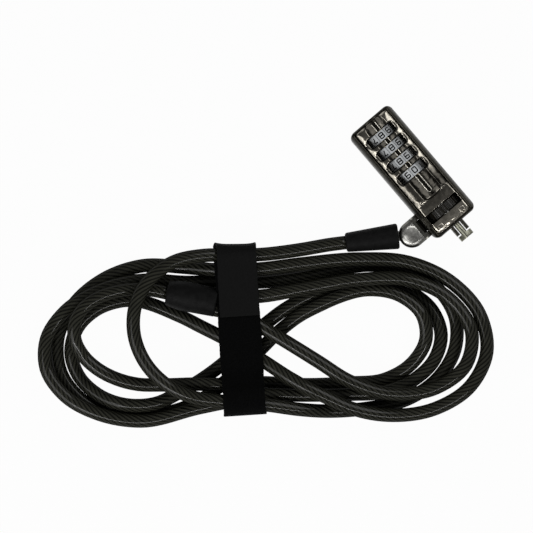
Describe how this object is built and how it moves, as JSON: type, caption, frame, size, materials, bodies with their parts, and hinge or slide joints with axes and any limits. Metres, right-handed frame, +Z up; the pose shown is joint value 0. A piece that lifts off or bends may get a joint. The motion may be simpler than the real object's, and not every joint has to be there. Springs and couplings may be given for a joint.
{
  "type": "laptop cable lock",
  "caption": "Four-dial combination lock with a turning T-bar for a laptop's security slot, on a plastic-covered steel cable coiled and strapped into a hank.",
  "frame": {"origin": "middle of the lock's box without its cable, on the surface that it lies on", "axes": "+Z up out of the dial face, +Y along the lock away from the T-bar, +X away from the cable lug"},
  "size_m": [0.1944, 0.1478, 0.0234],
  "materials": {
    "gunmetal": "satin",
    "black_chrome": "polished",
    "steel": "brushed",
    "nickel": "satin",
    "spring_brass": "satin",
    "dial_silver": "satin",
    "black_plastic": "satin",
    "sleeve_rubber": "matt",
    "cable_vinyl": "glossy clear coat over twisted wire",
    "strap_fabric": "woven hook and loop"
  },
  "bodies": {
    "lock_body": {"housing": "gunmetal", "face_cover": "black_chrome", "rear_plate": "gunmetal", "cover_screws": "steel", "nose_fork": "gunmetal", "fence_bar": "steel", "detent_spring": "spring_brass", "stack_washer": "steel", "stack_spring": "steel", "hinge_pin": "steel"},
    "dial_unit_1": {"dial_1": "dial_silver", "dial_hub_1": "spring_brass"},
    "dial_unit_2": {"dial_2": "dial_silver", "dial_hub_2": "spring_brass"},
    "dial_unit_3": {"dial_3": "dial_silver", "dial_hub_3": "spring_brass"},
    "dial_unit_4": {"dial_4": "dial_silver", "dial_hub_4": "spring_brass"},
    "bolt_unit": {"spindle": "steel", "spindle_clip": "steel", "thumbwheel": "black_plastic", "t_bar": "nickel"},
    "lug_unit": {"swivel_lug": "gunmetal", "lug_cap": "black_chrome", "swivel_rivet": "steel"},
    "tether": {"cable_tongue": "steel", "cable_sleeve": "sleeve_rubber", "cable_lead": "cable_vinyl", "cable_hank": "cable_vinyl", "loop_sleeve": "sleeve_rubber", "cable_eye": "cable_vinyl", "tie_strap": "strap_fabric"}
  },
  "joints": [
    {"name": "dial_1_turn", "type": "hinge", "parent": "lock_body", "child": "dial_unit_1", "pos_m": [0.00615, 0.02485, 0.009], "axis": [0, 1, 0], "continuous": true},
    {"name": "dial_2_turn", "type": "hinge", "parent": "lock_body", "child": "dial_unit_2", "pos_m": [0.00615, 0.0179, 0.009], "axis": [0, 1, 0], "continuous": true},
    {"name": "dial_3_turn", "type": "hinge", "parent": "lock_body", "child": "dial_unit_3", "pos_m": [0.00615, 0.01095, 0.009], "axis": [0, 1, 0], "continuous": true},
    {"name": "dial_4_turn", "type": "hinge", "parent": "lock_body", "child": "dial_unit_4", "pos_m": [0.00615, 0.004, 0.009], "axis": [0, 1, 0], "continuous": true},
    {"name": "thumbwheel_turn", "type": "hinge", "parent": "lock_body", "child": "bolt_unit", "pos_m": [0.00615, -0.01725, 0.009], "axis": [0, 1, 0], "range_deg": [0, 90]},
    {"name": "lug_hinge", "type": "hinge", "parent": "lock_body", "child": "lug_unit", "pos_m": [-0.0066, -0.01695, 0.009], "axis": [0, 1, 0], "range_deg": [-45, 45]},
    {"name": "cable_swivel", "type": "hinge", "parent": "lug_unit", "child": "tether", "pos_m": [-0.01175, -0.01695, 0.009], "axis": [0, 0, 1], "range_deg": [-45, 30]}
  ]
}
